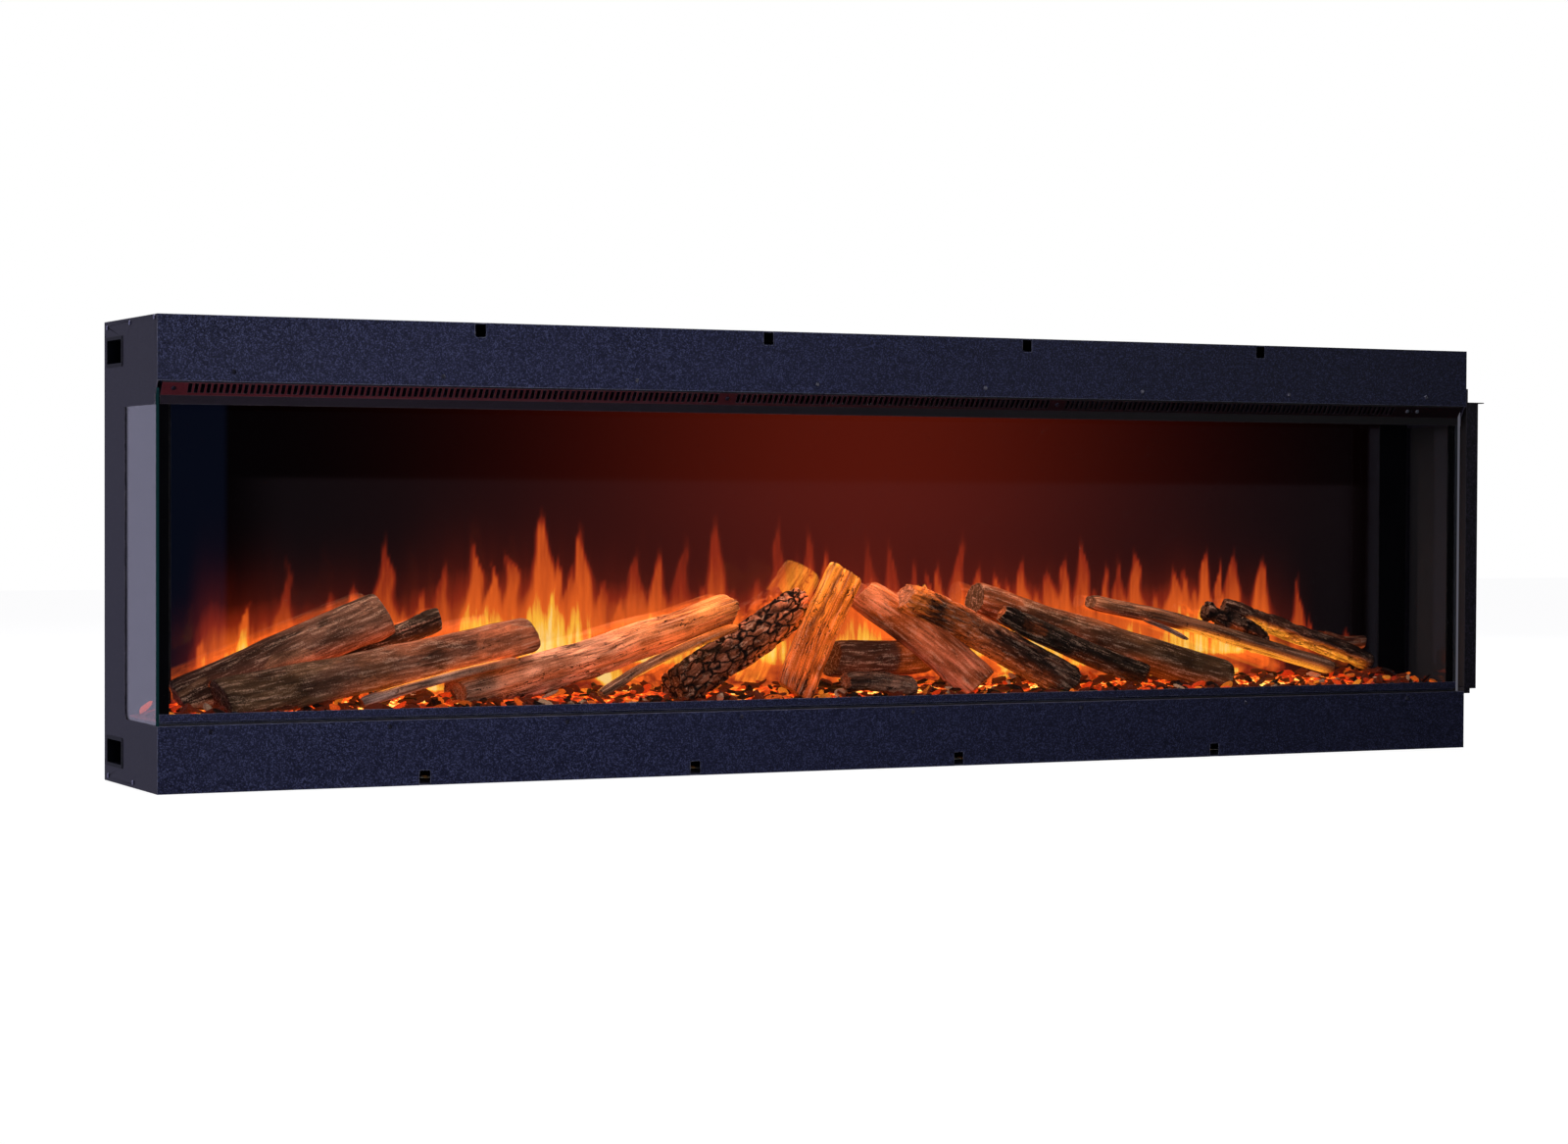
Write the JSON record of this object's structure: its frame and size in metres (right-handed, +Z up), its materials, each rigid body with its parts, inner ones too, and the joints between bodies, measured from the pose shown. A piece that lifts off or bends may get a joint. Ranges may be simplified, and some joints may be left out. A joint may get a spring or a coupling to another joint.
{
  "type": "electric fireplace",
  "caption": "Wide built-in electric fireplace with glass front and sides, log and ember bed, flame screen, fan heater and a cover over one side.",
  "frame": {"origin": "middle of the base footprint of the case, on the surface it stands on", "axes": "+X along the front to the right as seen from the front, +Y from the front to the rear, +Z up; the front faces -Y"},
  "size_m": [2.0345, 0.2495, 0.592],
  "materials": {
    "case_paint": "fine textured powder coat",
    "cover_paint": "fine textured powder coat",
    "inner_paint": "satin black",
    "zinc_sheet": "plated sheet",
    "screw_steel": "blackened",
    "bright_foil": "bright",
    "bearing_bronze": "plain",
    "grip_plastic": "moulded",
    "white_plastic": "moulded",
    "button_gloss": "polished",
    "black_rubber": "matt",
    "clear_glass": "polished",
    "flame_screen": "half-mirrored dark sheet that shows the flames",
    "ember_resin": "cast translucent resin lit from below",
    "bark": "bark chips",
    "log_wood": "weathered bark and split wood",
    "circuit_board": "lacquered"
  },
  "bodies": {
    "case": {"base_tray": "case_paint", "bed_brackets": "zinc_sheet", "bed_tray": "zinc_sheet", "button_module": "grip_plastic", "cable_gland": "black_rubber", "case_screws": "screw_steel", "chamber_ceiling": "inner_paint", "control_board": "circuit_board", "control_box": "zinc_sheet", "control_box_lid": "zinc_sheet", "corner_seals": "black_rubber", "ember_bed": "ember_resin", "ember_chips": "bark", "ember_light_strip": "circuit_board", "fan_bearing": "bearing_bronze", "fan_motor": "zinc_sheet", "flame_cutter": "inner_paint", "flame_light_strip": "circuit_board", "flame_screen": "flame_screen", "flicker_motors": "grip_plastic", "front_glass": "clear_glass", "glass_channel": "case_paint", "grip_cups": "grip_plastic", "heater_housing": "zinc_sheet", "heating_element": "bright_foil", "left_glass": "clear_glass", "left_side_panel": "case_paint", "light_driver": "white_plastic", "light_rail": "bright_foil", "log_bark_middle": "log_wood", "log_big_right": "log_wood", "log_centre": "log_wood", "log_far_left": "log_wood", "log_long_left": "log_wood", "log_rough_right": "log_wood", "log_smooth_right": "log_wood", "log_split_long": "log_wood", "lower_fascia": "case_paint", "lower_front_rail": "case_paint", "mains_switch": "grip_plastic", "outlet_grille": "inner_paint", "rear_panel": "case_paint", "remote_receiver": "button_gloss", "right_glass": "clear_glass", "right_side_panel": "case_paint", "rod_bracket": "zinc_sheet", "screen_ends": "inner_paint", "small_logs": "log_wood", "terminal_block": "white_plastic", "thermal_cutout": "grip_plastic", "top_panel": "case_paint", "upper_fascia": "case_paint"},
    "fan_rotor": {"impeller": "bright_foil", "fan_shaft": "screw_steel"},
    "left_rod": {"left_flicker_rod": "bright_foil"},
    "right_rod": {"right_flicker_rod": "bright_foil"},
    "switch_key": {"mains_rocker": "button_gloss"},
    "power_key": {"power_button": "button_gloss"},
    "mode_key": {"mode_button": "button_gloss"},
    "cover": {"side_cover": "cover_paint"}
  },
  "joints": [
    {"name": "fan_spin", "type": "hinge", "parent": "case", "child": "fan_rotor", "pos_m": [0, 0.0255, 0.5281], "axis": [1, 0, 0], "continuous": true},
    {"name": "left_rod_spin", "type": "hinge", "parent": "case", "child": "left_rod", "pos_m": [-0.5, 0.071, 0.15], "axis": [1, 0, 0], "continuous": true},
    {"name": "right_rod_spin", "type": "hinge", "parent": "case", "child": "right_rod", "pos_m": [0.5, 0.071, 0.15], "axis": [1, 0, 0], "continuous": true},
    {"name": "mains_rocker_tip", "type": "hinge", "parent": "case", "child": "switch_key", "pos_m": [0.999, 0.0805, 0.3], "axis": [0, 1, 0], "range_deg": [-20, 0]},
    {"name": "power_button_press", "type": "slide", "parent": "case", "child": "power_key", "axis": [0, 0.8137, 0.5812], "range_m": [0, 0.0015], "stiffness_N_per_m": 300, "springref_m": -0.0005},
    {"name": "mode_button_press", "type": "slide", "parent": "case", "child": "mode_key", "axis": [0, 0.8137, 0.5812], "range_m": [0, 0.0015], "stiffness_N_per_m": 300, "springref_m": -0.0005},
    {"name": "side_cover_pull", "type": "slide", "parent": "case", "child": "cover", "axis": [1, 0, 0], "range_m": [0, 0.06]}
  ]
}
